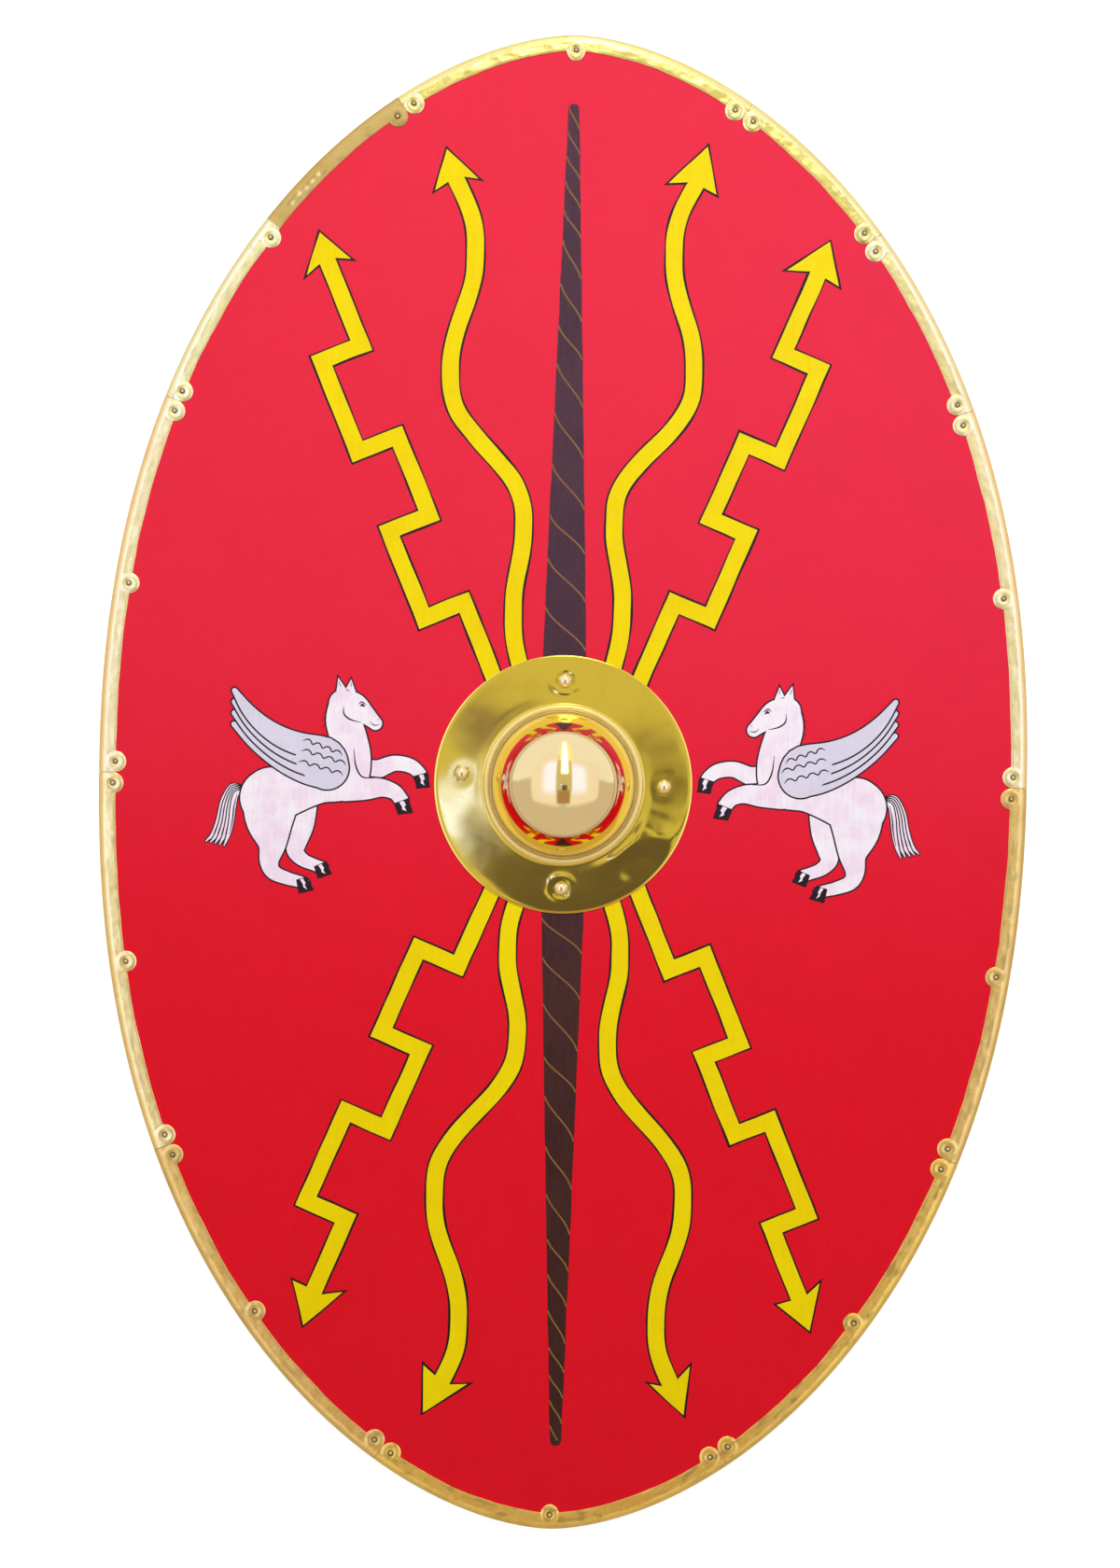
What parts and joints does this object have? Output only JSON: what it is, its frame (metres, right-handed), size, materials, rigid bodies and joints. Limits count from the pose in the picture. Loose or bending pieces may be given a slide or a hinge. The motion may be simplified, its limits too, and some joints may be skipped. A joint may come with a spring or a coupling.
{
  "type": "oval shield",
  "caption": "Flat oval Roman auxiliary shield: painted linen on a plywood board, folded brass rim, hollow brass boss and a wooden hand grip.",
  "frame": {"origin": "on the surface the shield lies on, under the middle of its outline; Z = 0 is the underside of the hand grip", "axes": "+Z out of the painted face, +Y to the top of the shield, +X across it to the viewer's right"},
  "size_m": [0.6628, 1.067, 0.0739],
  "materials": {
    "plywood": "bare birch plywood, oiled",
    "painted_linen": "red matt paint over fine linen, with yellow, black, brown and white figures",
    "rim_brass": "folded sheet, hammered, lightly tarnished",
    "nail_brass": "small domed heads, tarnished at the edge",
    "boss_brass": "spun sheet, polished",
    "rivet_brass": "domed heads, polished",
    "grip_wood": "oiled ash, worn smooth"
  },
  "bodies": {
    "root": {"board": "plywood", "linen_facing": "painted_linen", "rim_strip_01": "rim_brass", "rim_strip_02": "rim_brass", "rim_strip_03": "rim_brass", "rim_strip_04": "rim_brass", "rim_strip_05": "rim_brass", "rim_strip_06": "rim_brass", "rim_strip_07": "rim_brass", "rim_strip_08": "rim_brass", "rim_strip_09": "rim_brass", "rim_strip_10": "rim_brass", "rim_strip_11": "rim_brass", "rim_nail_01": "nail_brass", "rim_nail_02": "nail_brass", "rim_nail_03": "nail_brass", "rim_nail_04": "nail_brass", "rim_nail_05": "nail_brass", "rim_nail_06": "nail_brass", "rim_nail_07": "nail_brass", "rim_nail_08": "nail_brass", "rim_nail_09": "nail_brass", "rim_nail_10": "nail_brass", "rim_nail_11": "nail_brass", "rim_nail_12": "nail_brass", "rim_nail_13": "nail_brass", "rim_nail_14": "nail_brass", "rim_nail_15": "nail_brass", "rim_nail_16": "nail_brass", "rim_nail_17": "nail_brass", "rim_nail_18": "nail_brass", "rim_nail_19": "nail_brass", "rim_nail_20": "nail_brass", "rim_nail_21": "nail_brass", "rim_nail_22": "nail_brass", "rim_nail_23": "nail_brass", "rim_nail_24": "nail_brass", "rim_nail_25": "nail_brass", "rim_nail_26": "nail_brass", "rim_nail_27": "nail_brass", "rim_nail_28": "nail_brass", "rim_nail_29": "nail_brass", "rim_nail_30": "nail_brass", "rim_nail_31": "nail_brass", "boss": "boss_brass", "boss_rivet_top": "rivet_brass", "boss_rivet_right": "rivet_brass", "boss_rivet_bottom": "rivet_brass", "boss_rivet_left": "rivet_brass", "grip": "grip_wood"}
  },
  "joints": []
}
